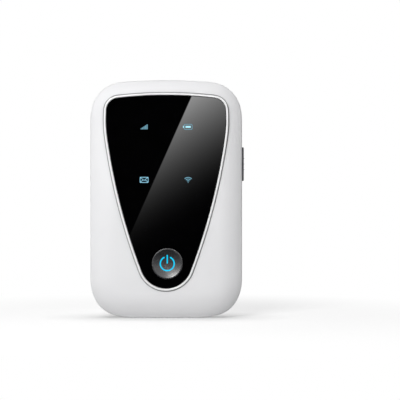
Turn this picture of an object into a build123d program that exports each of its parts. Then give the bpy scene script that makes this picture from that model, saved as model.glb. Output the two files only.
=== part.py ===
from build123d import *
from math import acos, asin, atan2, cos, degrees, hypot, radians, sin, sqrt, tan
import os

# A pocket mobile hotspot, standing upright on its base edge.
# X runs across it, Z runs up it, and Y runs from the front (-) to the back (+).
# The origin is on the base, in the middle of its width. Y is zero near the middle of its thickness.

# ---------------------------------------------------------------- driving sizes (mm)
# Case
case_width = 62.5
case_height = 98.0
front_face = -6.9          # flat middle of the front shell
rear_face = 7.2            # flat middle of the rear cover
parting = 1.8              # depth where shell and cover meet
shell_wall = 1.5
shell_floor = -4.9         # inner face behind the front panel
cover_wall = 1.4
edge_round = 1.2
end_flat = 0.05            # left between the two rounded corners of a slot's or key's end
parting_gap = 0.15         # visible joint line

# Outline radii: each side is a row of tangent arcs from the base to the crown
base_blend_r = 36.0
base_blend_turn = 14.8
foot_r = 12.3
foot_side_r = 18.6
foot_side_turn = 25.1
head_side_r = 24.4
head_side_turn = 12.6
head_r = 13.6
crown_r = 222.0

# Pillow shape of the two big faces: they round off over the last few millimetres
front_shoulder_r = 14.5
front_shoulder_width = 9.8
rear_shoulder_r = 15.0
rear_shoulder_width = 10.5

# Front panel and the white rim round it
panel_half_width = 24.72
panel_top = 91.68
panel_tip = 12.2
panel_crown_r = 172.0
panel_corner_r = 5.3
panel_shoulder_r = 54.0
panel_shoulder_turn = 4.3
panel_side_r = 252.0
panel_tip_r = 10.75
rim_width = 0.85
rim_face = -7.5
rim_round = 0.3
lens_face = -7.42
lens_thickness = 1.3
lens_bevel = 0.55
lens_bevel_depth = 0.22
lens_gap = 0.03            # lens to rim, on the same body
tape_thickness = 0.2
tape_inset = 0.6
channel_width = 0.4        # shadow line sunk into the shell round the rim
channel_depth = 0.45

# Power button in the lower part of the panel
button_x = 0.5
button_z = 22.5
button_r = 6.3
button_clearance = 0.12
button_face = -7.4
button_dish = 0.75         # depth of the thumb dish
button_edge = 0.25
button_rim = 0.45          # flat left round the dish
button_flange_over = 0.9    # flange beyond the cap, which keeps it behind the lens
button_flange = 0.5
button_travel_gap = 0.1    # cap's flange to the back of the lens at rest
symbol_ring_r = 3.12
symbol_stroke = 0.54
symbol_gap_turn = 28.0
symbol_bar = 3.65
symbol_depth = 0.35

# Status windows let into the lens
icon_depth = 0.3
icon_stroke = 0.22
icon_left = -8.95
icon_right = 9.08
icon_top_z = 78.55
icon_low_z = 56.85
icon_width = 3.5
icon_height = 2.35
signal_bars = 5
signal_size = (3.0, 2.0)
fan_half_turn = 45.0
fan_rings = 3
fan_stroke = 0.34
charge_size = (2.15, 0.8)
nub_width = 0.35
fold_stroke = 0.2
window_hole = (4.6, 3.6)   # light window through the shell behind each icon

# Circuit board and what stands on it
board_front = -3.2
board_thickness = 1.0
board_inset = 3.2
board_low = 2.6
board_high = 95.0
led_size = (1.6, 0.6, 0.8)
well_wall = 0.6
can_height = 1.4
can_wall = 0.2
can_corner = 0.8
modem_can = (34.0, 32.0)
modem_can_at = (-3.0, 66.0)
wifi_can = (22.0, 18.0)
wifi_can_at = (-12.0, 36.0)
aerial_height = 1.35
aerial_strip = 0.2
aerial_width = 4.0
aerial_foot = 1.0
aerials = {                # left end, right end, low edge, feet
    "main_aerial": (-20.0, 0.0, 87.0, 3),
    "diversity_aerial": (6.0, 19.0, 87.0, 2),
    "wifi_aerial": (-17.0, -7.5, 8.0, 2),
}

# Tact switches
switch_size = 4.5
switch_height = 0.9
plunger_r = 0.9
plunger_out = 0.45
plunger_clearance = 0.08
plunger_sink = 0.45        # how deep the plunger can go in its switch
switch_room = 0.2          # from a switch body to the frame round it
key_room = 0.65            # behind the key's flange, for its travel

# Key on the right-hand wall
key_z = 63.45
key_length = 13.95
key_thickness = 2.3
key_y = -0.85
key_proud = 0.79
key_clearance = 0.12
key_flange = 0.6
key_flange_over = 0.8
key_flange_gap = 0.1
key_flange_relief = 0.1    # off the flange's front edge
key_edge = 0.35
key_rib = 0.18
key_rib_spacing = 2.3
key_switch_depth = 2.6
key_switch_height = 2.4
key_plunger_r = 0.55

# Charging socket in the base
socket_width = 9.0
socket_height = 3.2
socket_length = 7.4
socket_wall = 0.3
socket_tongue = (6.7, 0.7, 5.0)
socket_clearance = 0.15
socket_set_in = 0.35

# Middle frame, battery bay and fixings
frame_plate_front = -0.5
frame_plate = 0.9
frame_plate_inset = 1.6
frame_inset = 2.8
frame_rear = 5.45
bay_floor = 0.6
bay_low = 20.0
bay_clearance = 0.25
boss_r = 2.0
boss_clearance = 0.15
pilot_r = 0.55
screw_x = 25.6
screw_low_z = 14.5
screw_high_z = 83.5
screw_hole_r = 0.85
screw_head_r = 1.3
screw_head = 0.8
screw_head_room = 0.25
screw_head_round = 0.25
screw_cross = (1.5, 0.3)
screw_cross_depth = 0.4
screw_length = 4.2

# Battery
battery_width = 45.6
battery_height = 64.0
battery_thickness = 4.6
battery_round = 1.0
battery_edge = 0.4
battery_cap = 3.0
battery_seat = 0.15        # pack to the bay floor
terminal_size = (2.4, 2.0)
terminal_pitch = 3.6
terminal_thickness = 0.3
terminal_count = 3
connector_size = (13.5, 3.4, 4.4)
blade_size = (1.0, 1.6, 2.4)
blade_room = 0.1
blade_gap = 0.1            # blades to the battery's pads

# SIM socket below the bay
sim_size = (14.5, 13.0, 1.5)
sim_at = (14.0, 11.6)
sim_wall = 0.25
sim_clearance = 0.2

# Rear cover's locating lip
lip_depth = 1.2
lip_thickness = 0.8
lip_clearance = 0.12
lip_socket_gap = 2.0
lip_root = 0.6             # band that joins the lip to the cover,
lip_root_lap = 0.3         # and how far it reaches into the cover's wall


# ---------------------------------------------------------------- outlines and slabs
def case_circles():
    """Right half of the case outline, base to crown, as tangent circles (x, z, radius)."""
    half = case_width / 2
    base_turn = radians(base_blend_turn)
    foot_turn = radians(foot_side_turn)
    head_turn = radians(head_side_turn)
    foot_side_x = half - foot_side_r
    foot_x = foot_side_x + (foot_side_r - foot_r) * cos(foot_turn)
    base_x = foot_x - (base_blend_r - foot_r) * sin(base_turn)
    foot_z = base_blend_r - (base_blend_r - foot_r) * cos(base_turn)
    foot_side_z = foot_z + (foot_side_r - foot_r) * sin(foot_turn)
    head_side_x = half - head_side_r
    head_x = head_side_x + (head_side_r - head_r) * cos(head_turn)
    crown_z = case_height - crown_r
    head_z = crown_z + sqrt((crown_r - head_r) ** 2 - head_x ** 2)
    head_side_z = head_z - (head_side_r - head_r) * sin(head_turn)
    return [
        (base_x, base_blend_r, base_blend_r),
        (foot_x, foot_z, foot_r),
        (foot_side_x, foot_side_z, foot_side_r),
        (head_side_x, head_side_z, head_side_r),
        (head_x, head_z, head_r),
        (0, crown_z, crown_r),
    ]


def panel_circles():
    """Right half of the front panel's outline, tip to crown, as tangent circles."""
    turn = radians(panel_shoulder_turn)
    shoulder_x = panel_half_width - panel_shoulder_r
    corner_x = shoulder_x + (panel_shoulder_r - panel_corner_r) * cos(turn)
    crown_z = panel_top - panel_crown_r
    corner_z = crown_z + sqrt((panel_crown_r - panel_corner_r) ** 2 - corner_x ** 2)
    shoulder_z = corner_z - (panel_shoulder_r - panel_corner_r) * sin(turn)
    tip_z = panel_tip + panel_tip_r
    # the long side touches both the shoulder and the tip from outside
    to_shoulder = panel_side_r - panel_shoulder_r
    to_tip = panel_side_r - panel_tip_r
    away_x, away_z = -shoulder_x, tip_z - shoulder_z
    span = hypot(away_x, away_z)
    along = (to_shoulder ** 2 - to_tip ** 2 + span ** 2) / (2 * span)
    aside = sqrt(to_shoulder ** 2 - along ** 2)
    side_x = shoulder_x + (along * away_x + aside * away_z) / span
    side_z = shoulder_z + (along * away_z - aside * away_x) / span
    return [
        (0, tip_z, panel_tip_r),
        (side_x, side_z, panel_side_r),
        (shoulder_x, shoulder_z, panel_shoulder_r),
        (corner_x, corner_z, panel_corner_r),
        (0, crown_z, panel_crown_r),
    ]


def outline(circles, grow=0.0):
    """Face in the XZ plane round the tangent circles and their mirror image, grown all round."""
    turns = [-90.0]
    for (x1, z1, r1), (x2, z2, r2) in zip(circles, circles[1:]):
        lean = acos(max(-1.0, min(1.0, (r1 - r2) / hypot(x2 - x1, z2 - z1))))
        turn = degrees(atan2(z2 - z1, x2 - x1) - lean)
        turns.append((turn + 180) % 360 - 180)
    turns.append(90.0)
    right = []
    for (x, z, r), start, end in zip(circles, turns, turns[1:]):
        angles = [radians(a) for a in (start, (start + end) / 2, end)]
        right.append([(x + (r + grow) * cos(a), z + (r + grow) * sin(a)) for a in angles])
    left = [[(-x, z) for x, z in reversed(arc)] for arc in reversed(right)]
    loop = right + left
    edges = []
    here = loop[0][0]
    for start, middle, end in loop:
        if hypot(start[0] - here[0], start[1] - here[1]) > 1e-4:
            edges.append(Line(here, start))
            here = start
        edges.append(ThreePointArc(here, middle, end))
        here = end
    if hypot(loop[0][0][0] - here[0], loop[0][0][1] - here[1]) > 1e-4:
        edges.append(Line(here, loop[0][0]))
    return Plane.XZ * make_face(edges)


def slab(face, front, back):
    """Solid of an XZ face between two depths."""
    return extrude(Pos(0, back, 0) * face, back - front)


def block(x, y, z):
    """Box between the given (low, high) pairs."""
    size = [high - low for low, high in (x, y, z)]
    return Pos(*[(low + high) / 2 for low, high in (x, y, z)]) * Box(*size)


def middle_span(middle, size):
    """Low and high ends of a size centred on a middle."""
    return (middle - size / 2, middle + size / 2)


def widen(span, room):
    """The span with room added at both ends."""
    return (span[0] - room, span[1] + room)


def disc(x, z, r, front, back):
    """Cylinder along Y between two depths."""
    return slab(Plane.XZ * (Pos(x, z) * Circle(r)), front, back)


case = case_circles()
panel = panel_circles()


def pillow(face_depth, inner, shoulder_r, shoulder_width, inset=0.0):
    """Case-shaped solid from depth inner out to a big face that rounds off towards the side wall."""
    out = 1 if face_depth > inner else -1
    face = face_depth - out * inset
    root = face - out * (shoulder_r + 1)
    body = slab(outline(case, shoulder_r - inset - shoulder_width), min(face, root), max(face, root))
    rim = body.faces().sort_by(Axis.Y)[-1 if out > 0 else 0].edges()
    body = fillet(rim, shoulder_r - inset)
    return body & slab(outline(case, -inset), min(face, inner), max(face, inner))


def soften(body, face_depth, shoulder_r, shoulder_width, out):
    """Round the line where the big face meets the side wall."""
    sag = shoulder_r - sqrt(shoulder_r ** 2 - shoulder_width ** 2)
    line = face_depth - out * sag
    return fillet(body.edges().filter_by_position(Axis.Y, line - 0.02, line + 0.02), edge_round)


# ---------------------------------------------------------------- depths worked out from the sizes
lens_back = lens_face + lens_thickness
seat_depth = lens_back + tape_thickness        # bottom of the panel's recess in the shell
board_back = board_front + board_thickness
frame_plate_back = frame_plate_front + frame_plate
flange_front = lens_back + button_travel_gap
flange_r = button_r + button_flange_over
button_well_r = flange_r + 2 * button_clearance
bay_width = battery_width + 2 * bay_clearance
bay_high = bay_low + battery_height + 2 * bay_clearance
windows = {
    "signal": (icon_left, icon_top_z),
    "battery": (icon_right, icon_top_z),
    "message": (icon_left, icon_low_z),
    "wifi": (icon_right, icon_low_z),
}
screw_spots = [(side * screw_x, z) for side in (-1, 1) for z in (screw_low_z, screw_high_z)]
key_slot_y = (key_y - key_thickness / 2, key_y + key_thickness / 2)
key_slot_z = (key_z - key_length / 2, key_z + key_length / 2)
wall_outside = case_width / 2
wall_inside = wall_outside - shell_wall
socket_y = (board_back, board_back + socket_height)
key_flange_back = wall_inside - key_flange_gap - key_flange
key_switch_y = (board_back, board_back + key_switch_height)
key_switch_x = (key_flange_back - plunger_out - key_switch_depth, key_flange_back - plunger_out)
battery_front = bay_floor + battery_seat
battery_z = (bay_low + bay_clearance, bay_low + bay_clearance + battery_height)


# ---------------------------------------------------------------- drawn symbols (flat, in x and z)
def stroke(start, end, width):
    """Straight stroke with square ends."""
    length = hypot(end[0] - start[0], end[1] - start[1])
    turn = degrees(atan2(end[1] - start[1], end[0] - start[0]))
    middle = ((start[0] + end[0]) / 2, (start[1] + end[1]) / 2)
    return Pos(*middle) * Rot(0, 0, turn) * Rectangle(length, width)


def signal_sketch():
    """Rising bars."""
    wide, high = signal_size
    pitch = wide / signal_bars
    drawn = Sketch()
    for index in range(signal_bars):
        tall = high * (index + 1) / signal_bars
        place = Pos(-wide / 2 + (index + 0.5) * pitch, -high / 2 + tall / 2)
        drawn += place * Rectangle(pitch * 0.75, tall)
    return drawn


def battery_sketch():
    """Cell outline."""
    corner = icon_height / 4
    cell = RectangleRounded(icon_width, icon_height, corner)
    inside = (icon_width - 2 * icon_stroke, icon_height - 2 * icon_stroke)
    return cell - RectangleRounded(*inside, corner - icon_stroke)


def charge_sketch():
    """Charge bar inside the cell outline, and the cell's nub to the left."""
    nub = Pos(-icon_width / 2 - nub_width / 2, 0) * Rectangle(nub_width, charge_size[1])
    return Rectangle(*charge_size) + nub


def message_sketch():
    """Envelope with its flap."""
    half_w = icon_width / 2 - icon_stroke / 2
    half_h = icon_height / 2 - icon_stroke / 2
    sheet = RectangleRounded(icon_width, icon_height, icon_height / 8)
    sheet -= Rectangle(icon_width - 2 * icon_stroke, icon_height - 2 * icon_stroke)
    folds = Sketch()
    for side in (-1, 1):
        folds += stroke((side * half_w, half_h), (0, -half_h * 0.25), fold_stroke)
        folds += stroke((side * half_w, -half_h), (side * half_w * 0.3, 0), fold_stroke)
    return (sheet + folds) & Rectangle(icon_width, icon_height)


def wifi_sketch():
    """Fan of arcs over a dot."""
    foot = Pos(0, -icon_height / 2 + fan_stroke / 2)
    fan = foot * Circle(fan_stroke / 2)
    reach = 2 * icon_height
    lean = reach * tan(radians(fan_half_turn))
    wedge = make_face(Polyline((0, 0), (lean, reach), (-lean, reach), close=True))
    for ring in range(1, fan_rings + 1):
        r = ring * (icon_height - fan_stroke) / fan_rings
        fan += foot * ((Circle(r + fan_stroke / 2) - Circle(r - fan_stroke / 2)) & wedge)
    return fan


icons = {
    "signal_icon": (signal_sketch, windows["signal"]),
    "battery_icon": (battery_sketch, windows["battery"]),
    "charge_bar": (charge_sketch, windows["battery"]),
    "message_icon": (message_sketch, windows["message"]),
    "wifi_icon": (wifi_sketch, windows["wifi"]),
}


def icon(name):
    """Clear print let into the face of the lens."""
    sketch, place = icons[name]
    return slab(Plane.XZ * (Pos(*place) * sketch()), lens_face, lens_face + icon_depth)


# ---------------------------------------------------------------- front shell, rim and panel
def front_shell():
    """White moulded front case with its panel recess, windows, bosses and wall openings."""
    shell = pillow(front_face, parting, front_shoulder_r, front_shoulder_width)
    shell = soften(shell, front_face, front_shoulder_r, front_shoulder_width, -1)
    hollow = pillow(front_face, parting + 1, front_shoulder_r, front_shoulder_width, shell_wall)
    shell -= hollow & slab(outline(case), shell_floor, parting + 1)
    channel = slab(outline(panel, rim_width + channel_width), front_face - 1, parting)
    shell -= channel - pillow(front_face, parting + 1, front_shoulder_r, front_shoulder_width, channel_depth)
    shell -= slab(outline(panel, rim_width), front_face - 1, seat_depth)
    for x, z in windows.values():
        shell -= block(middle_span(x, window_hole[0]), (seat_depth - 1, shell_floor + 1),
                       middle_span(z, window_hole[1]))
    shell -= disc(button_x, button_z, button_well_r, seat_depth - 1, shell_floor + 1)
    for x, z in screw_spots:
        shell += disc(x, z, boss_r, shell_floor - 0.1, frame_plate_front)
    for x, z in screw_spots:
        shell -= disc(x, z, pilot_r, shell_floor + 0.4, frame_plate_front + 1)
    key_slot = block((wall_inside - 1, wall_outside + 1), widen(key_slot_y, key_clearance),
                     widen(key_slot_z, key_clearance))
    shell -= fillet(key_slot.edges().filter_by(Axis.X), key_thickness / 2 + key_clearance - end_flat)
    socket_slot = block(widen(middle_span(0, socket_width), socket_clearance),
                        widen(socket_y, socket_clearance), (-1, shell_wall + 1))
    shell -= fillet(socket_slot.edges().filter_by(Axis.Z), socket_height / 2 + socket_clearance - end_flat)
    return shell


def panel_bezel():
    """Gloss white rim that frames the lens and stands a little proud of the shell."""
    rim = slab(outline(panel, rim_width), rim_face, seat_depth)
    rim -= slab(outline(panel), rim_face - 1, seat_depth + 1)
    return fillet(rim.faces().sort_by(Axis.Y)[0].edges(), rim_round)


def front_panel():
    """Black gloss lens with bevelled edge, pierced for the power button and the status windows."""
    lens = slab(outline(panel, -lens_gap), lens_face, lens_back)
    face = lens.faces().sort_by(Axis.Y)[0]
    lens = chamfer(face.edges(), lens_bevel_depth, lens_bevel, reference=face)
    lens -= disc(button_x, button_z, button_r + button_clearance, lens_face - 1, lens_back + 1)
    for name in icons:
        lens -= icon(name)
    return lens


def panel_tape():
    """Adhesive sheet behind the lens."""
    tape = slab(outline(panel, -tape_inset), lens_back, seat_depth)
    tape -= disc(button_x, button_z, button_well_r, lens_back - 1, seat_depth + 1)
    for x, z in windows.values():
        tape -= block(middle_span(x, window_hole[0]), (lens_back - 1, seat_depth + 1),
                      middle_span(z, window_hole[1]))
    return tape


# ---------------------------------------------------------------- power button
def button_cap():
    """Round cap with a spherical thumb dish, and a flange that keeps it behind the lens."""
    cap = disc(button_x, button_z, button_r, button_face, flange_front)
    cap = fillet(cap.faces().sort_by(Axis.Y)[0].edges(), button_edge)
    cap += disc(button_x, button_z, flange_r, flange_front, flange_front + button_flange)
    nub_front = flange_front + button_flange
    cap += disc(button_x, button_z, plunger_r, nub_front, board_front - switch_height - plunger_out)
    rim_r = button_r - button_rim
    ball_r = (rim_r ** 2 + button_dish ** 2) / (2 * button_dish)
    return cap - Pos(button_x, button_face + button_dish - ball_r, button_z) * Sphere(ball_r)


def power_symbol_prism():
    """Broken ring and bar, as deep as the cap."""
    middle_r = symbol_ring_r - symbol_stroke / 2
    ring = Circle(symbol_ring_r) - Circle(symbol_ring_r - symbol_stroke)
    gap = radians(symbol_gap_turn)
    reach = 2 * symbol_ring_r
    ring -= make_face(Polyline((0, 0), (reach * sin(gap), reach * cos(gap)),
                               (-reach * sin(gap), reach * cos(gap)), close=True))
    for side in (-1, 1):
        ring += Pos(side * middle_r * sin(gap), middle_r * cos(gap)) * Circle(symbol_stroke / 2)
    bar = Pos(0, symbol_bar / 2) * Rot(0, 0, 90) * SlotOverall(symbol_bar, symbol_stroke)
    return slab(Plane.XZ * (Pos(button_x, button_z) * (ring + bar)), button_face - 1, button_face + 2)


def power_symbol():
    """Clear coloured insert, flush with the dish and as thick all over."""
    cap = button_cap()
    sunk = Pos(0, symbol_depth, 0) * cap
    return (power_symbol_prism() & cap) - sunk


def power_button():
    """Cap with the pocket for its insert."""
    return button_cap() - power_symbol()


def switch(x, z, depth, out):
    """Tact switch body on the board with a well for its plunger."""
    top = depth + out * switch_height
    body = block(middle_span(x, switch_size), sorted((depth, top)), middle_span(z, switch_size))
    return body - disc(x, z, plunger_r + plunger_clearance, *sorted((top + out, top - out * plunger_sink)))


def power_plunger():
    """Switch plunger that the button's nub rests on."""
    top = board_front - switch_height
    return disc(button_x, button_z, plunger_r, top - plunger_out, top + 0.02)


# ---------------------------------------------------------------- side key
def side_key():
    """Key through the right-hand wall: ribbed pad, retaining flange and a nub for its switch."""
    pad = block((wall_inside - key_flange_gap - 0.1, wall_outside + key_proud), key_slot_y, key_slot_z)
    pad = fillet(pad.edges().filter_by(Axis.X), key_thickness / 2 - end_flat)
    outer = pad.faces().sort_by(Axis.X)[-1]
    pad = fillet(outer.edges(), key_edge)
    for row in (-1, 0, 1):
        z = key_z + row * key_rib_spacing
        rib = Pos(wall_outside + key_proud, key_y, z) * Rot(90, 0, 0) * Cylinder(key_rib, key_thickness * 0.6)
        pad += rib
    flange_x = (wall_inside - key_flange_gap - key_flange, wall_inside - key_flange_gap)
    pad += block(flange_x, (key_slot_y[0] + key_flange_relief, key_slot_y[1]),
                 (key_slot_z[0] - key_flange_over, key_slot_z[1] + key_flange_over))
    return pad


def side_switch():
    """Edge switch on the back of the board."""
    body = block(key_switch_x, key_switch_y, middle_span(key_z, switch_size))
    top = key_switch_x[1]
    return body - side_rod(key_plunger_r + plunger_clearance, top - plunger_sink, top + 1)


def side_rod(r, low, high):
    """Cylinder along X at the side key's switch."""
    middle_y = (key_switch_y[0] + key_switch_y[1]) / 2
    return Pos((low + high) / 2, middle_y, key_z) * Rot(0, 90, 0) * Cylinder(r, high - low)


def side_plunger():
    """Switch plunger behind the key."""
    return side_rod(key_plunger_r, key_switch_x[1] - 0.02, key_flange_back)


# ---------------------------------------------------------------- circuit board
def main_pcb():
    """Board with holes for the frame's bosses."""
    board = slab(outline(case, -board_inset), board_front, board_back)
    board &= block((-case_width, case_width), (board_front - 1, board_back + 1), (board_low, board_high))
    for x, z in screw_spots:
        board -= disc(x, z, boss_r + boss_clearance, board_front - 1, board_back + 1)
    return board


def can(at, size):
    """Pressed screening can standing on the back of the board."""
    x, z = at
    across = middle_span(x, size[0])
    up = middle_span(z, size[1])
    box = block(across, (board_back, board_back + can_height), up)
    box = fillet(box.edges().filter_by(Axis.Y), can_corner)
    return box - block(widen(across, -can_wall), (board_back - 1, board_back + can_height - can_wall),
                       widen(up, -can_wall))


def status_leds():
    """One lamp behind each status window."""
    return Compound(children=[lamp(x, z) for x, z in windows.values()])


def lamp(x, z):
    """Small surface-mounted lamp on the front of the board."""
    wide, deep, tall = led_size
    return block(middle_span(x, wide), (board_front - deep, board_front), middle_span(z, tall))


def light_wells():
    """White tubes that keep each window's light to itself."""
    parts = []
    for x, z in windows.values():
        across = middle_span(x, window_hole[0])
        up = middle_span(z, window_hole[1])
        tube = block(widen(across, well_wall), (shell_floor, board_front), widen(up, well_wall))
        parts.append(tube - block(across, (shell_floor - 1, board_front + 1), up))
    return Compound(children=parts)


def power_led():
    """Pair of lamps beside the power switch."""
    off = switch_size / 2 + led_size[0]
    return Compound(children=[lamp(button_x - off, button_z), lamp(button_x + off, button_z)])


def aerial(low_x, high_x, z, feet):
    """Pressed metal strip on feet, soldered to the back of the board."""
    top = board_back + aerial_height
    strip = block((low_x, high_x), (top - aerial_strip, top), (z, z + aerial_width))
    for step in range(feet):
        x = low_x + (high_x - low_x - aerial_foot) * step / (feet - 1)
        strip += block((x, x + aerial_foot), (board_back, top), (z, z + aerial_strip))
    return strip


# ---------------------------------------------------------------- charging socket
def usb_shell():
    """Rounded metal tube, open at the base."""
    low = socket_set_in
    across = middle_span(0, socket_width)
    tube = block(across, socket_y, (low, low + socket_length))
    tube = fillet(tube.edges().filter_by(Axis.Z), socket_height / 2 - end_flat)
    inner = block(widen(across, -socket_wall), widen(socket_y, -socket_wall),
                  (low - 1, low + socket_length - socket_wall))
    inner = fillet(inner.edges().filter_by(Axis.Z), socket_height / 2 - socket_wall - end_flat)
    return tube - inner


def usb_tongue():
    """Contact tongue in the middle of the socket."""
    wide, thick, long = socket_tongue
    middle = (socket_y[0] + socket_y[1]) / 2
    top = socket_set_in + socket_length - socket_wall
    return block(middle_span(0, wide), middle_span(middle, thick), (top - long, top))


# ---------------------------------------------------------------- middle frame
def mid_frame():
    """Moulded chassis: a plate over the board, and walls round the battery bay behind it."""
    plate = slab(outline(case, -frame_plate_inset), frame_plate_front, frame_plate_back)
    rear = pillow(rear_face, frame_plate_front, rear_shoulder_r, rear_shoulder_width, frame_inset)
    rear &= slab(outline(case), frame_plate_front, frame_rear)
    frame = plate + rear
    through = frame_rear + 3
    frame -= block(middle_span(0, bay_width), (bay_floor, through), (bay_low, bay_high))
    # room for the socket, the key and the connector, the SIM pocket and the screw heads
    frame -= block(widen(middle_span(0, socket_width), socket_clearance),
                   (frame_plate_front - 1, socket_y[1] + socket_clearance),
                   (-1, socket_set_in + socket_length + socket_clearance))
    under = frame_plate_front - 1
    frame -= block((key_flange_back - key_room, case_width), (under, frame_plate_back + switch_room),
                   widen(key_slot_z, 2 * key_flange_over))
    frame -= block((key_switch_x[0] - switch_room, case_width), (under, key_switch_y[1] + switch_room),
                   widen(middle_span(key_z, switch_size), switch_room))
    wide, deep, tall = connector_size
    frame -= block(middle_span(0, wide), (bay_floor, through), (bay_low - deep, bay_low + 1))
    sim_wide, sim_tall, sim_thick = sim_size
    frame -= block(middle_span(sim_at[0], sim_wide), (bay_floor, through),
                   (sim_at[1] - sim_tall / 2, bay_low + 1))
    for x, z in screw_spots:
        frame -= disc(x, z, screw_hole_r, frame_plate_front - 1, frame_plate_back + 1)
        frame -= disc(x, z, screw_head_r + screw_head_room, frame_plate_back, through)
    return frame


def frame_screws():
    """Four self-tapping screws with a cross recess."""
    parts = []
    for x, z in screw_spots:
        top = frame_plate_back + screw_head
        head = disc(x, z, screw_head_r, frame_plate_back, top)
        head = fillet(head.faces().sort_by(Axis.Y)[-1].edges(), screw_head_round)
        shank = disc(x, z, pilot_r, frame_plate_back - screw_length, frame_plate_back)
        recess = (top - screw_cross_depth, top + 1)
        long, thin = screw_cross
        cross = block(middle_span(x, long), recess, middle_span(z, thin))
        cross += block(middle_span(x, thin), recess, middle_span(z, long))
        parts.append(head + shank - cross)
    return Compound(children=parts)


# ---------------------------------------------------------------- battery and its connector
def slab_between(low, high):
    """Everything between two heights."""
    return block((-case_width, case_width), (-case_width, case_width), (low, high))


def battery_blank():
    """Whole battery, cell and end cap together."""
    body = block(middle_span(0, battery_width), (battery_front, battery_front + battery_thickness), battery_z)
    body = fillet(body.edges().filter_by(Axis.Y), battery_round)
    return fillet(body.faces().sort_by(Axis.Y)[-1].edges(), battery_edge)


def battery_pack():
    """Wrapped cell above its end cap."""
    return battery_blank() & slab_between(battery_z[0] + battery_cap, case_height)


def battery_end_cap():
    """Moulded strip with pockets for the terminals."""
    strip = battery_blank() & slab_between(-1, battery_z[0] + battery_cap)
    return strip - battery_terminals()


def battery_terminals():
    """Gold pads in the end cap."""
    parts = []
    middle = battery_front + battery_thickness / 2
    for index in range(terminal_count):
        x = (index - (terminal_count - 1) / 2) * terminal_pitch
        wide, tall = terminal_size
        parts.append(block(middle_span(x, wide), middle_span(middle, tall),
                           (battery_z[0], battery_z[0] + terminal_thickness)))
    return Compound(children=parts)


def battery_connector():
    """Housing in the frame below the bay."""
    wide, deep, tall = connector_size
    body = block(middle_span(0, wide), (bay_floor, bay_floor + tall), (bay_low - deep, bay_low))
    return body - connector_blades(blade_room)


def connector_blades(room=0.0):
    """Gold-plated spring contacts standing out towards the battery."""
    parts = []
    middle = battery_front + battery_thickness / 2
    for index in range(terminal_count):
        x = (index - (terminal_count - 1) / 2) * terminal_pitch
        wide, thick, long = blade_size
        parts.append(block(widen(middle_span(x, wide), room), widen(middle_span(middle, thick), room),
                           (bay_low - long, bay_low + bay_clearance - blade_gap + room)))
    return Compound(children=parts)


# ---------------------------------------------------------------- SIM socket
def sim_socket():
    """Pressed steel card holder, open towards the bay."""
    wide, tall, thick = sim_size
    x, z = sim_at
    across = widen(middle_span(x, wide), -sim_clearance)
    low = z - tall / 2 + sim_clearance
    outer = block(across, (bay_floor, bay_floor + thick), (low, z + tall / 2))
    return outer - block(widen(across, -sim_wall), (bay_floor + sim_wall, bay_floor + thick - sim_wall),
                         (low + sim_wall, z + tall))


# ---------------------------------------------------------------- rear cover
def rear_cover():
    """Pull-off back with a lip that locates inside the front shell."""
    joint = parting + parting_gap
    cover = pillow(rear_face, joint, rear_shoulder_r, rear_shoulder_width)
    cover = soften(cover, rear_face, rear_shoulder_r, rear_shoulder_width, 1)
    cover -= pillow(rear_face, joint - 1, rear_shoulder_r, rear_shoulder_width, cover_wall)
    lip_out = shell_wall + lip_clearance
    lip = slab(outline(case, -lip_out), parting - lip_depth, joint + lip_root)
    lip -= slab(outline(case, -lip_out - lip_thickness), parting - lip_depth - 1, joint + 2)
    lip += slab(outline(case, lip_root_lap - cover_wall), joint, joint + lip_root) - slab(
        outline(case, -lip_out - lip_thickness), joint - 1, joint + 2)
    half = socket_width / 2 + lip_socket_gap
    lip -= block((-half, half), (-case_width, joint), (-1, lip_out + 2 * lip_thickness))
    return cover + lip


# ---------------------------------------------------------------- write the pieces
pieces = {
    "front_shell": front_shell(),
    "panel_bezel": panel_bezel(),
    "front_panel": front_panel(),
    "panel_tape": panel_tape(),
    "light_wells": light_wells(),
    "status_leds": status_leds(),
    "power_led": power_led(),
    "main_pcb": main_pcb(),
    "modem_can": can(modem_can_at, modem_can),
    "wifi_can": can(wifi_can_at, wifi_can),
    "usb_shell": usb_shell(),
    "usb_tongue": usb_tongue(),
    "power_button": power_button(),
    "power_symbol": power_symbol(),
    "power_switch": switch(button_x, button_z, board_front, -1),
    "power_plunger": power_plunger(),
    "side_key": side_key(),
    "side_switch": side_switch(),
    "side_plunger": side_plunger(),
    "mid_frame": mid_frame(),
    "frame_screws": frame_screws(),
    "battery_pack": battery_pack(),
    "battery_end_cap": battery_end_cap(),
    "battery_terminals": battery_terminals(),
    "battery_connector": battery_connector(),
    "connector_blades": connector_blades(),
    "sim_socket": sim_socket(),
    "rear_cover": rear_cover(),
}
for name, place in aerials.items():
    pieces[name] = aerial(*place)
for name in icons:
    pieces[name] = icon(name)

os.makedirs("parts", exist_ok=True)
for name, piece in pieces.items():
    export_step(piece, f"parts/{name}.step")
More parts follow.
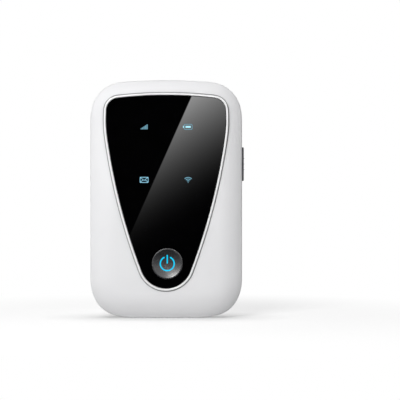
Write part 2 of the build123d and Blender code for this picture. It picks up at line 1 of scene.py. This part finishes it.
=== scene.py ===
import math
import bpy
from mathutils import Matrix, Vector


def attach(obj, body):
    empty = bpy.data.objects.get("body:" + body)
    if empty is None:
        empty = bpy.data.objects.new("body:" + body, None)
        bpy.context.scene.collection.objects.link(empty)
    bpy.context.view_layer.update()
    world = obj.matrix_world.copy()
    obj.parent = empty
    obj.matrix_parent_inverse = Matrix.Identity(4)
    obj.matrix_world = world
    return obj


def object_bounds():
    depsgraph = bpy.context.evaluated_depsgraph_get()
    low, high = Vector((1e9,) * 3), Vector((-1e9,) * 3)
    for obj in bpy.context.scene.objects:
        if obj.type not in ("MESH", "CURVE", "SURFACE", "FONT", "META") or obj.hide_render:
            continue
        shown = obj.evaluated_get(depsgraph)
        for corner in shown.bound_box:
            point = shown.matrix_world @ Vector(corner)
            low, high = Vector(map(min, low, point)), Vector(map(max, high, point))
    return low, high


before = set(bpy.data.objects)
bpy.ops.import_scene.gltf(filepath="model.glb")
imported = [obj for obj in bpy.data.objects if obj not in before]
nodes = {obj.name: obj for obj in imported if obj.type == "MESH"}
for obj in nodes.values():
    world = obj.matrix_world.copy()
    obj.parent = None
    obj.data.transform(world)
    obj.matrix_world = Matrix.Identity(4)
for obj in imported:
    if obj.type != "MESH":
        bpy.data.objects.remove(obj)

cad_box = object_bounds()
MM = 0.001


# ---------------------------------------------------------------- front shell
# The white front half of the case. Injection-moulded ABS in gloss white, off a polished tool,
# with the faint orange-peel that a large pillow-shaped moulding keeps. It carries everything else.
def linear(code):
    """Linear colour of an sRGB hex value."""
    channels = [int(code[i:i + 2], 16) / 255 for i in (1, 3, 5)]
    return tuple(c / 12.92 if c <= 0.04045 else ((c + 0.055) / 1.055) ** 2.4 for c in channels) + (1.0,)


def add_node(tree, kind, settings=None, inputs=None):
    """Adds a node. An input is a plain value, or (node, output) for a link."""
    node = tree.nodes.new(kind)
    for name, value in (settings or {}).items():
        setattr(node, name, value)
    for name, value in (inputs or {}).items():
        if isinstance(value, tuple) and isinstance(value[0], bpy.types.Node):
            tree.links.new(value[0].outputs[value[1]], node.inputs[name])
        else:
            node.inputs[name].default_value = value
    return node


def new_material(name):
    """Empty material with its tree and its output node."""
    made = bpy.data.materials.new(name)
    made.use_nodes = True
    tree = made.node_tree
    tree.nodes.clear()
    return made, tree, tree.nodes.new("ShaderNodeOutputMaterial")


def two_tones(tree, share, dark, light):
    """Colour ramp between two tones."""
    ramp = add_node(tree, "ShaderNodeValToRGB", None, {"Fac": share})
    ramp.color_ramp.elements[0].color = linear(dark)
    ramp.color_ramp.elements[1].color = linear(light)
    return ramp


def with_painted_crease_shade(tree, where, colour, painted_crease_shade):
    """Paints shade into the colour in narrow channels: the more the surroundings shelter a point, the darker
    the painted shade, down to the given share. The lowest part of the case is left out, where the table
    shades it anyway."""
    reach_mm = 4.5
    unshaded_below_mm = 5
    full_above_mm = 8
    # painted shade: the colour darkens where the surroundings shelter the surface
    painted_shade_occlusion = add_node(tree, "ShaderNodeAmbientOcclusion", {"samples": 12}, {"Distance": reach_mm * MM})
    shade = add_node(tree, "ShaderNodeMapRange", None,
                     {"Value": (painted_shade_occlusion, "AO"), "From Min": 0.4, "From Max": 0.99,
                      "To Min": painted_crease_shade, "To Max": 1.0})
    place = add_node(tree, "ShaderNodeSeparateXYZ", None, {"Vector": (where, "Object")})
    base_left_unshaded = add_node(tree, "ShaderNodeMapRange", None,
                     {"Value": (place, "Z"), "From Min": unshaded_below_mm * MM, "From Max": full_above_mm * MM,
                      "To Min": 1.0, "To Max": 0.0})
    level = add_node(tree, "ShaderNodeMath", {"operation": "MAXIMUM"},
                     {0: (shade, "Result"), 1: (base_left_unshaded, "Result")})
    return add_node(tree, "ShaderNodeHueSaturation", None, {"Color": (colour, "Color"), "Value": (level, 0)})


def moulded(name, light, dark, rough, grain_mm, bump_um, coat=0.0, ior=1.5, metallic=0.0, painted_crease_shade=1.0):
    """Moulded, pressed or plated surface: the colour drifts slowly between two tones, and a fine
    grain breaks up the gloss. A painted crease shade under 1 is how dark the painted shade in a narrow
    channel gets."""
    drift_mm = 18
    gloss_spread = 0.15
    made, tree, out = new_material(name)
    where = add_node(tree, "ShaderNodeTexCoord")
    drift = add_node(tree, "ShaderNodeTexNoise", None,
                     {"Vector": (where, "Object"), "Scale": 1 / (drift_mm * MM), "Detail": 3.0})
    grain = add_node(tree, "ShaderNodeTexNoise", None,
                     {"Vector": (where, "Object"), "Scale": 1 / (grain_mm * MM), "Detail": 4.0,
                      "Roughness": 0.6})
    colour = two_tones(tree, (drift, "Fac"), dark, light)
    # painted shade darkens the colour in narrow channels
    if painted_crease_shade < 1.0:
        colour = with_painted_crease_shade(tree, where, colour, painted_crease_shade)
    gloss = add_node(tree, "ShaderNodeMapRange", None,
                     {"Value": (grain, "Fac"), "To Min": rough * (1 - gloss_spread),
                      "To Max": rough * (1 + gloss_spread)})
    bump = add_node(tree, "ShaderNodeBump", None,
                    {"Height": (grain, "Fac"), "Strength": 1.0, "Distance": bump_um * 1e-6})
    shader = add_node(tree, "ShaderNodeBsdfPrincipled", None,
                      {"Base Color": (colour, "Color"), "Roughness": (gloss, "Result"),
                       "Normal": (bump, "Normal"), "IOR": ior, "Metallic": metallic,
                       "Coat Weight": coat, "Coat Roughness": 0.06})
    tree.links.new(shader.outputs[0], out.inputs["Surface"])
    return made


def dress(material, *names):
    """Gives CAD nodes their finish."""
    for name in names:
        slots = nodes[name].data.materials
        slots.clear()
        slots.append(material)


# gloss white ABS: bright and slightly cool, with broad soft highlights, and painted shade in its narrow
# channels, such as the one round the rim
white_abs = moulded("gloss_white_ABS", "#F6F6F7", "#F1F1F3", 0.30, 0.9, 1.0, painted_crease_shade=0.4)
dress(white_abs, "front_shell")


# ---------------------------------------------------------------- rim
# Narrow ring round the panel, moulded separately and pressed into the shell. It is a harder
# plastic than the shell's, with a domed face that catches a bright line all the way round.
# polished polycarbonate: whiter and sharper in its gloss than the shell beside it
rim_white = moulded("polished_white_polycarbonate", "#FFFFFF", "#FAFAFB", 0.25, 0.7, 0.5, coat=0.5, ior=1.58)
dress(rim_white, "panel_bezel")


# ---------------------------------------------------------------- front panel
# Lens of cast black acrylic, cut to shape with a bevelled edge, polished, and stuck into the rim.
# It covers the lamps, and the symbols and the power button are let into it.
def acrylic(name):
    """Near-black body under a mirror-flat face, with only hairline polishing marks in the gloss."""
    haze_mm = 6
    made, tree, out = new_material(name)
    where = add_node(tree, "ShaderNodeTexCoord")
    haze = add_node(tree, "ShaderNodeTexNoise", None,
                    {"Vector": (where, "Object"), "Scale": 1 / (haze_mm * MM), "Detail": 5.0})
    tone = two_tones(tree, (haze, "Fac"), "#010101", "#040405")
    gloss = add_node(tree, "ShaderNodeMapRange", None,
                     {"Value": (haze, "Fac"), "To Min": 0.002, "To Max": 0.006})
    shader = add_node(tree, "ShaderNodeBsdfPrincipled", None,
                      {"Base Color": (tone, "Color"), "Roughness": (gloss, "Result"), "IOR": 1.49})
    tree.links.new(shader.outputs[0], out.inputs["Surface"])
    return made


dress(acrylic("polished_black_acrylic"), "front_panel")


# ---------------------------------------------------------------- lit symbols
# Clear print let into the lens and a clear insert in the button, both lit from behind by small
# lamps on the board. They glow a little unevenly, as light from a few small lamps does.
def lit(name, colour, glow, strength):
    """Glowing print or insert, a tenth brighter or dimmer from place to place."""
    unevenness = 0.1
    patch_mm = 1.5
    made, tree, out = new_material(name)
    where = add_node(tree, "ShaderNodeTexCoord")
    spread = add_node(tree, "ShaderNodeTexNoise", None,
                      {"Vector": (where, "Object"), "Scale": 1 / (patch_mm * MM)})
    level = add_node(tree, "ShaderNodeMapRange", None,
                     {"Value": (spread, "Fac"), "To Min": strength * (1 - unevenness),
                      "To Max": strength * (1 + unevenness)})
    shader = add_node(tree, "ShaderNodeBsdfPrincipled", None,
                      {"Base Color": linear(colour), "Roughness": 0.4, "Specular IOR Level": 0.15,
                       "Emission Color": linear(glow), "Emission Strength": (level, "Result")})
    tree.links.new(shader.outputs[0], out.inputs["Surface"])
    return made


# tinted insert: saturated cyan; clear prints: pale blue, brightest in the charge bar
dress(lit("lit_cyan_polycarbonate", "#001A20", "#00D2FF", 0.97), "power_symbol")
dress(lit("lit_pale_blue_print", "#101C20", "#74ABC0", 0.85), "signal_icon", "battery_icon", "wifi_icon")
dress(lit("lit_bright_blue_print", "#182C30", "#AFF0FF", 1.0), "charge_bar")
dress(lit("lit_clear_blue_print", "#182C30", "#8FCDE6", 1.1), "message_icon")


# ---------------------------------------------------------------- power button
# Round cap with a thumb dish, held behind the lens by its flange. It is moulded in dark grey
# and lacquered, so the dish gathers a soft highlight on the side away from the lamp.
# lacquered ABS: near-black, with a stronger mirror than bare plastic
button_grey = moulded("lacquered_dark_grey_ABS", "#28292C", "#212225", 0.28, 0.5, 0.5, ior=1.8)
dress(button_grey, "power_button")


# ---------------------------------------------------------------- side key
# Key through the right-hand wall, with small ribs for the thumb. Its tool is spark-eroded,
# which leaves a fine matt texture.
# matt ABS: mid grey with no clear highlight
key_grey = moulded("matt_dark_grey_ABS", "#55565A", "#4A4B4F", 0.45, 0.25, 6.0)
dress(key_grey, "side_key", "side_plunger")


# ---------------------------------------------------------------- rear cover
# Thin pull-off back with a lip that locates in the front shell. It is moulded in the same gloss
# white ABS as the shell, so it takes the shell's material.
dress(white_abs, "rear_cover")


# ---------------------------------------------------------------- frame, battery and inner pieces
# Seen only with the cover off: the chassis with its battery bay, the wrapped cell, the board
# and what stands on it. Plain engineering finishes, none of them polished.
# mouldings: pale matt chassis, and black nylon for what holds contacts
chassis = moulded("matt_pale_grey_polycarbonate", "#C9CACC", "#BFC0C3", 0.5, 0.4, 8.0)
black_nylon = moulded("matt_black_nylon", "#1C1C1D", "#151516", 0.55, 0.3, 8.0)
dress(chassis, "mid_frame", "light_wells")
dress(black_nylon, "usb_tongue", "battery_end_cap", "battery_connector")
dress(black_nylon, "power_switch", "power_plunger", "side_switch")

# film and foam: satin charcoal round the cell, and dull black behind the lens
wrap = moulded("satin_charcoal_battery_film", "#3A3B3E", "#333437", 0.35, 1.2, 5.0)
foam = moulded("black_foam_adhesive", "#202021", "#181819", 0.8, 0.4, 10.0)
dress(wrap, "battery_pack")
dress(foam, "panel_tape")

# metals: warm gold contacts and aerials, pale tinned cans, darker zinc on the screws
gold = moulded("gold_plated_contact", "#D9B468", "#C9A45A", 0.28, 0.2, 1.0, metallic=1.0)
steel = moulded("tinned_sheet_steel", "#C4C6C8", "#AEB0B3", 0.3, 0.5, 2.0, metallic=1.0)
zinc = moulded("zinc_plated_screw_steel", "#9A9CA0", "#86888C", 0.32, 0.3, 2.0, metallic=1.0)
dress(gold, "battery_terminals", "connector_blades", "main_aerial", "diversity_aerial", "wifi_aerial")
dress(steel, "modem_can", "wifi_can", "usb_shell", "sim_socket")
dress(zinc, "frame_screws")

# board: glass-epoxy under green solder mask, with lamps in milky yellow resin
mask = moulded("green_solder_mask", "#1F5A38", "#184A2D", 0.35, 0.6, 4.0)
diffuser = moulded("diffusing_lamp_resin", "#EDE6C8", "#E2DAB8", 0.4, 0.4, 2.0)
dress(mask, "main_pcb")
dress(diffuser, "status_leds", "power_led")


# ---------------------------------------------------------------- port contacts
# Gold-plated spring contacts in two rows, one on each face of the charging port's tongue.
# They are stamped from one strip of phosphor bronze and moulded into the tongue.
def contact_row_tree():
    """Row of like pads along X, grown from one pad."""
    tree = bpy.data.node_groups.new("contact_row", "GeometryNodeTree")
    sockets = {}
    for name, kind in (("Count", "NodeSocketInt"), ("Pitch", "NodeSocketFloat"),
                       ("Pad Size", "NodeSocketVector"), ("Start", "NodeSocketVector"),
                       ("Material", "NodeSocketMaterial")):
        sockets[name] = tree.interface.new_socket(name, in_out="INPUT", socket_type=kind).identifier
    tree.interface.new_socket("Geometry", in_out="OUTPUT", socket_type="NodeSocketGeometry")
    given = tree.nodes.new("NodeGroupInput")
    step = add_node(tree, "ShaderNodeCombineXYZ", None, {"X": (given, "Pitch")})
    spots = add_node(tree, "GeometryNodeMeshLine", None,
                     {"Count": (given, "Count"), "Start Location": (given, "Start"), "Offset": (step, 0)})
    pad = add_node(tree, "GeometryNodeMeshCube", None, {"Size": (given, "Pad Size")})
    pads = add_node(tree, "GeometryNodeInstanceOnPoints", None, {"Points": (spots, 0), "Instance": (pad, 0)})
    real = add_node(tree, "GeometryNodeRealizeInstances", None, {"Geometry": (pads, 0)})
    plated = add_node(tree, "GeometryNodeSetMaterial", None,
                      {"Geometry": (real, 0), "Material": (given, "Material")})
    out = tree.nodes.new("NodeGroupOutput")
    tree.links.new(plated.outputs[0], out.inputs[0])
    return tree, sockets


def grown(name, tree, settings):
    """Plain mesh object of what a tree grows."""
    seed_mesh = bpy.data.meshes.new(name + "_seed")
    seed = bpy.data.objects.new(name + "_seed", seed_mesh)
    bpy.context.scene.collection.objects.link(seed)
    modifier = seed.modifiers.new("grow", "NODES")
    modifier.node_group = tree
    for identifier, value in settings.items():
        modifier[identifier] = value
    shape = bpy.data.meshes.new_from_object(seed.evaluated_get(bpy.context.evaluated_depsgraph_get()))
    shape.name = name
    seed.modifiers.remove(modifier)
    bpy.data.objects.remove(seed)
    made = bpy.data.objects.new(name, shape)
    bpy.context.scene.collection.objects.link(made)
    return made


def node_box(name):
    """Low and high corners of a CAD node."""
    corners = [Vector(corner) for corner in nodes[name].bound_box]
    return [Vector(pick(corner[axis] for corner in corners) for axis in range(3)) for pick in (min, max)]


contact_count = 12
contact_pitch = 0.5 * MM
contact_size = Vector((0.26, 0.06, 3.4)) * MM
contact_set_in = 0.5 * MM          # from the tongue's tip
row_tree, row_sockets = contact_row_tree()
tongue_low, tongue_high = node_box("usb_tongue")
row_x = -(contact_count - 1) / 2 * contact_pitch
row_z = tongue_low.z + contact_set_in + contact_size.z / 2
for side, face in (("front", tongue_low.y), ("rear", tongue_high.y)):
    contacts = grown(f"port_contacts_{side}", row_tree, {
        row_sockets["Count"]: contact_count, row_sockets["Pitch"]: contact_pitch,
        row_sockets["Pad Size"]: contact_size, row_sockets["Start"]: Vector((row_x, face, row_z)),
        row_sockets["Material"]: gold})
    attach(contacts, "case")


# ---------------------------------------------------------------- floor and backdrop
# A white sweep: the floor takes the object's shadow close by, partly real shadow from the lamps and partly
# # painted contact shadow, and turns into the plain white backdrop further off. Neither of them is part of
# the object.
def floor_material():
    """White floor that keeps only the shade near the object: real shadow on its matt part, and painted
    contact shadow in its glow.
    """
    shade_reach = 24 * MM
    white_from = 60 * MM
    white_past = 170 * MM
    made, tree, out = new_material("white_floor")
    matt = add_node(tree, "ShaderNodeBsdfDiffuse", None, {"Color": linear("#BBBBBB")})
    # painted contact shadow: the floor's glow dims where the object shelters it
    painted_shade_occlusion = add_node(tree, "ShaderNodeAmbientOcclusion", {"samples": 12}, {"Distance": shade_reach})
    painted_contact_shadow = add_node(tree, "ShaderNodeMapRange", None,
                       {"Value": (painted_shade_occlusion, "AO"), "From Min": 0.4, "From Max": 1.0,
                        "To Min": 0.2, "To Max": 0.6})
    lift = add_node(tree, "ShaderNodeEmission", None,
                    {"Color": (1, 1, 1, 1), "Strength": (painted_contact_shadow, "Result")})
    near = add_node(tree, "ShaderNodeAddShader", None, {0: (matt, 0), 1: (lift, 0)})
    white = add_node(tree, "ShaderNodeEmission", None, {"Color": (1, 1, 1, 1), "Strength": 1.0})
    where = add_node(tree, "ShaderNodeTexCoord")
    reach = add_node(tree, "ShaderNodeVectorMath", {"operation": "LENGTH"}, {0: (where, "Object")})
    far = add_node(tree, "ShaderNodeMapRange", {"interpolation_type": "SMOOTHSTEP"},
                   {"Value": (reach, "Value"), "From Min": white_from, "From Max": white_past})
    pale = add_node(tree, "ShaderNodeMixShader", None, {0: (far, "Result"), 1: (near, 0), 2: (white, 0)})
    rays = add_node(tree, "ShaderNodeLightPath")
    seen = add_node(tree, "ShaderNodeMath", {"operation": "MAXIMUM"},
                    {0: (rays, "Is Camera Ray"), 1: (rays, "Is Glossy Ray")})
    mix = add_node(tree, "ShaderNodeMixShader", None, {0: (seen, 0), 1: (matt, 0), 2: (pale, 0)})
    tree.links.new(mix.outputs[0], out.inputs["Surface"])
    return made


def quad(name, corners, material):
    """Flat four-cornered object."""
    mesh = bpy.data.meshes.new(name)
    mesh.from_pydata(corners, [], [(0, 1, 2, 3)])
    made = bpy.data.objects.new(name, mesh)
    bpy.context.scene.collection.objects.link(made)
    mesh.materials.append(material)
    return made


def lying(x, y, z):
    """Corners of a level rectangle over two (low, high) spans, facing up."""
    return [(x[0], y[0], z), (x[1], y[0], z), (x[1], y[1], z), (x[0], y[1], z)]


def standing(half_width, y, bottom, top):
    """Corners of an upright rectangle across the view."""
    return [(-half_width, y, bottom), (half_width, y, bottom), (half_width, y, top), (-half_width, y, top)]


floor_span = (-6, 6)
floor = quad("floor", lying(floor_span, floor_span, 0), floor_material())

fill_level = 0.22          # what the backdrop adds to the light on matt surfaces
world = bpy.data.worlds.new("studio")
bpy.context.scene.world = world
world.use_nodes = True
sky = world.node_tree
sky.nodes.clear()
sky_out = sky.nodes.new("ShaderNodeOutputWorld")
sky_rays = add_node(sky, "ShaderNodeLightPath")
sky_seen = add_node(sky, "ShaderNodeMath", {"operation": "MAXIMUM"},
                    {0: (sky_rays, "Is Camera Ray"), 1: (sky_rays, "Is Transmission Ray")})
sky_any = add_node(sky, "ShaderNodeMath", {"operation": "MAXIMUM"},
                   {0: (sky_seen, 0), 1: (sky_rays, "Is Glossy Ray")})
sky_level = add_node(sky, "ShaderNodeMapRange", None,
                     {"Value": (sky_any, 0), "To Min": fill_level, "To Max": 1.0})
sky_back = add_node(sky, "ShaderNodeBackground", None,
                    {"Color": (1, 1, 1, 1), "Strength": (sky_level, "Result")})
sky.links.new(sky_back.outputs[0], sky_out.inputs["Surface"])


# ---------------------------------------------------------------- lamps
# A soft key lamp in front, to the left and above, and a broad lamp behind that lights the back
# of the case and throws no shadow forwards.
def lamp(name, place, aim, size, power):
    """Square soft lamp."""
    data = bpy.data.lights.new(name, "AREA")
    data.size = size
    data.energy = power
    made = bpy.data.objects.new(name, data)
    bpy.context.scene.collection.objects.link(made)
    made.location = place
    made.rotation_euler = (Vector(aim) - Vector(place)).to_track_quat("-Z", "Y").to_euler()
    return made


middle = [(low + high) / 2 for low, high in zip(*cad_box)]
key_lamp = lamp("key_lamp", (-0.17, -0.45, 0.29), middle, 0.24, 2.1)
back_lamp = lamp("back_lamp", (0.30, 1.15, 0.45), middle, 0.6, 8.0)
back_lamp.data.use_shadow = False


# ---------------------------------------------------------------- camera
# It stands level with the middle of the case, a little to its right, with a long lens.
# The frame is a little over two and a half case widths across.
frame_width = 164.6 * MM
camera_distance = 617 * MM
camera_right = 13.93 * MM
camera_height = 48.6 * MM
focus_y = -4.5 * MM
sensor_mm = 36
camera_data = bpy.data.cameras.new("camera")
camera_data.sensor_width = sensor_mm
camera_data.lens = sensor_mm * camera_distance / frame_width
camera = bpy.data.objects.new("camera", camera_data)
bpy.context.scene.collection.objects.link(camera)
camera.location = (camera_right, focus_y - camera_distance, camera_height)
camera.rotation_euler = (math.radians(90), 0, 0)
bpy.context.scene.camera = camera


# ---------------------------------------------------------------- what the gloss mirrors
# In the flat panel: dark on the left of a slanted edge, and a soft grey on its right that fades
# downwards. It is on a card behind the camera, and runs on over the floor in front of the card.
# Only gloss sees these cards, the mat and the flag.
panel_low, _ = node_box("front_panel")
lens_y = panel_low.y
lens_away = lens_y - camera.location.y
edge_high = Vector((10.47 * MM, 91.2 * MM))
edge_low = Vector((-14.63 * MM, 34.9 * MM))
tone_top = 0.565            # display tone in the panel at the edge's top, and how it falls away
tone_per_mm_up = 0.0135
tone_per_mm_across = 0.0091
tone_fade = 0.4             # how softly the tone runs out to black
edge_softness_mm = 0.25
display_gamma = 2.2
gloss_share = 0.0387        # share of light that polished acrylic mirrors head-on


def mirrored_material():
    """Soft grey beyond the slanted edge, laid out by where the panel mirrors each point to the camera."""
    made, tree, out = new_material("reflection_card")
    where = add_node(tree, "ShaderNodeTexCoord")
    place = add_node(tree, "ShaderNodeSeparateXYZ", None, {"Vector": (where, "Object")})
    ahead = add_node(tree, "ShaderNodeMath", {"operation": "SUBTRACT"}, {0: lens_y, 1: (place, "Y")})
    reach = add_node(tree, "ShaderNodeMath", {"operation": "MULTIPLY_ADD"},
                     {0: (ahead, 0), 1: 1 / lens_away, 2: 1.0})

    def on_lens(axis, middle_of_view):
        """Place on the panel, in mm, that mirrors this point."""
        off = add_node(tree, "ShaderNodeMath", {"operation": "SUBTRACT"},
                       {0: (place, axis), 1: middle_of_view})
        shrunk = add_node(tree, "ShaderNodeMath", {"operation": "DIVIDE"}, {0: (off, 0), 1: (reach, 0)})
        return add_node(tree, "ShaderNodeMath", {"operation": "MULTIPLY_ADD"},
                        {0: (shrunk, 0), 1: 1 / MM, 2: middle_of_view / MM})

    across = on_lens("X", camera.location.x)
    up = on_lens("Z", camera.location.z)
    slope = (edge_high.x - edge_low.x) / (edge_high.y - edge_low.y)
    edge = add_node(tree, "ShaderNodeMath", {"operation": "MULTIPLY_ADD"},
                    {0: (up, 0), 1: slope, 2: (edge_low.x - slope * edge_low.y) / MM})
    past = add_node(tree, "ShaderNodeMath", {"operation": "SUBTRACT"}, {0: (across, 0), 1: (edge, 0)})
    side = add_node(tree, "ShaderNodeMapRange", None,
                    {"Value": (past, 0), "From Min": 0.0, "From Max": edge_softness_mm})
    height = add_node(tree, "ShaderNodeMath", {"operation": "MULTIPLY_ADD"},
                      {0: (up, 0), 1: tone_per_mm_up, 2: tone_top - tone_per_mm_up * edge_high.y / MM})
    width = add_node(tree, "ShaderNodeMath", {"operation": "MULTIPLY_ADD"},
                     {0: (across, 0), 1: -tone_per_mm_across, 2: tone_per_mm_across * edge_high.x / MM})
    both = add_node(tree, "ShaderNodeMath", {"operation": "ADD"}, {0: (height, 0), 1: (width, 0)})
    tone = add_node(tree, "ShaderNodeMath", {"operation": "SMOOTH_MAX"}, {0: (both, 0), 1: 0.0, 2: tone_fade})
    light = add_node(tree, "ShaderNodeMath", {"operation": "POWER"}, {0: (tone, 0), 1: display_gamma})
    masked = add_node(tree, "ShaderNodeMath", {"operation": "MULTIPLY"}, {0: (light, 0), 1: (side, "Result")})
    level = add_node(tree, "ShaderNodeMath", {"operation": "MULTIPLY"}, {0: (masked, 0), 1: 1 / gloss_share})
    glow = add_node(tree, "ShaderNodeEmission", None, {"Color": (1, 1, 1, 1), "Strength": (level, 0)})
    tree.links.new(glow.outputs[0], out.inputs["Surface"])
    return made


def matt_material(name, colour):
    """Plain matt paint for a stage object."""
    made, tree, out = new_material(name)
    paint = add_node(tree, "ShaderNodeBsdfDiffuse", None, {"Color": linear(colour)})
    tree.links.new(paint.outputs[0], out.inputs["Surface"])
    return made


off_floor = MM
mirrored = mirrored_material()
card_y = -3.0
card_half = 0.30
card_top = 0.45
strip_near = -0.16
card = quad("reflection_card", standing(card_half, card_y, off_floor, card_top), mirrored)
strip = quad("reflection_strip", lying((-card_half, card_half), (card_y, strip_near), off_floor), mirrored)

# a dark mat in front of the case, which the upper part of the button's dish mirrors
mat_half = 0.08
mat_ahead = -0.125
mat = quad("dark_mat", lying((-mat_half, mat_half), (mat_ahead, 0), off_floor),
           matt_material("dark_mat", "#0C0C0C"))

# a grey flag behind the case, which draws its outline a little darker than the backdrop
flag_y = 0.35
flag_half = 0.6
flag = quad("grey_flag", standing(flag_half, flag_y, off_floor, flag_half),
            matt_material("grey_flag", "#404040"))
for hidden in (card, strip, mat, flag):
    hidden.visible_camera = False
    hidden.visible_diffuse = False
    hidden.visible_shadow = False

bpy.context.scene.view_settings.view_transform = "Standard"
